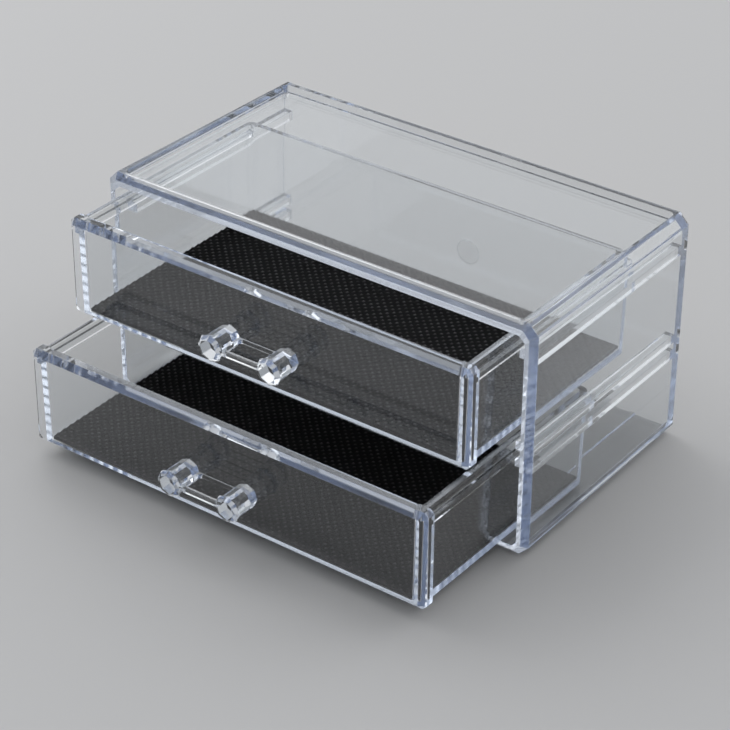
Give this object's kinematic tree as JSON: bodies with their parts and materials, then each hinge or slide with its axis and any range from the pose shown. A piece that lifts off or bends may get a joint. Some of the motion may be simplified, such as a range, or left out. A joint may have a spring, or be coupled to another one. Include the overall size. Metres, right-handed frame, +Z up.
{
  "type": "makeup organizer",
  "caption": "Clear moulded desktop box, open at the front, with stacked pull-out drawers that have bevelled fronts, loop handles and dark textured mats.",
  "frame": {"origin": "centre of the casing's footprint on the surface it stands on", "axes": "+Z up, +X to the right seen from the front, the drawers pull out towards -Y"},
  "size_m": [0.24, 0.2106, 0.1186],
  "materials": {
    "clear_casing": "clear polished plastic",
    "clear_drawer": "clear polished plastic",
    "mat": "black soft mat with rows of small raised lozenges"
  },
  "bodies": {
    "casing": {"casing": "clear_casing"},
    "upper_drawer": {"upper_drawer": "clear_drawer", "upper_mat": "mat"},
    "lower_drawer": {"lower_drawer": "clear_drawer", "lower_mat": "mat"}
  },
  "joints": [
    {"name": "upper_drawer_slide", "type": "slide", "parent": "casing", "child": "upper_drawer", "axis": [0, -1, 0], "range_m": [-0.0334, 0.07]},
    {"name": "lower_drawer_slide", "type": "slide", "parent": "casing", "child": "lower_drawer", "axis": [0, -1, 0], "range_m": [-0.0635, 0.04]}
  ]
}
